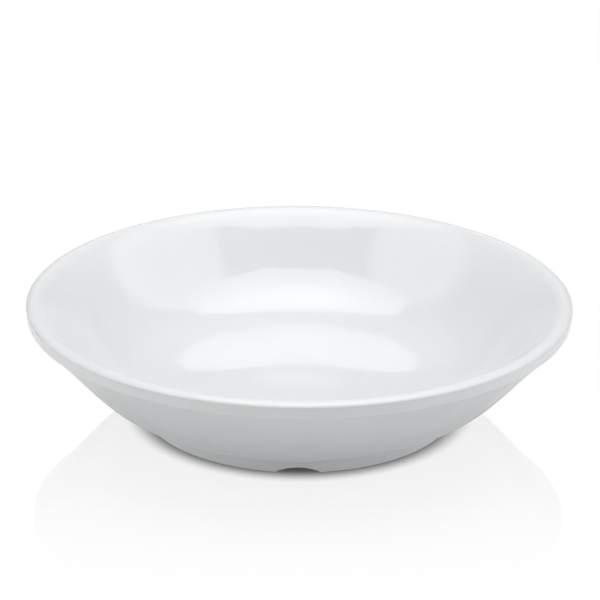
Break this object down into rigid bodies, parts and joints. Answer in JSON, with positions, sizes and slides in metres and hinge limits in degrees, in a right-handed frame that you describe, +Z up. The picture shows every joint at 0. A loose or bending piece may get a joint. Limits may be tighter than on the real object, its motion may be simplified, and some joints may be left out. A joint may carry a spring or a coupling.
{
  "type": "deep plate",
  "caption": "Round white deep plate with a bowed, flaring wall, a thick rounded lip with an outer band, a dished floor and a foot ring with drain notches.",
  "frame": {"origin": "on the table under the middle of the plate, in the plane of the foot ring's lower face", "axes": "+Z up along the plate's axis; -Y towards the side that the picture shows, through the middle of a drain notch; +X to the right"},
  "size_m": [0.2, 0.2, 0.045],
  "materials": {
    "body": "satin",
    "glaze": "gloss"
  },
  "bodies": {
    "root": {"moulded_body": "body", "glaze_layer": "glaze"}
  },
  "joints": []
}
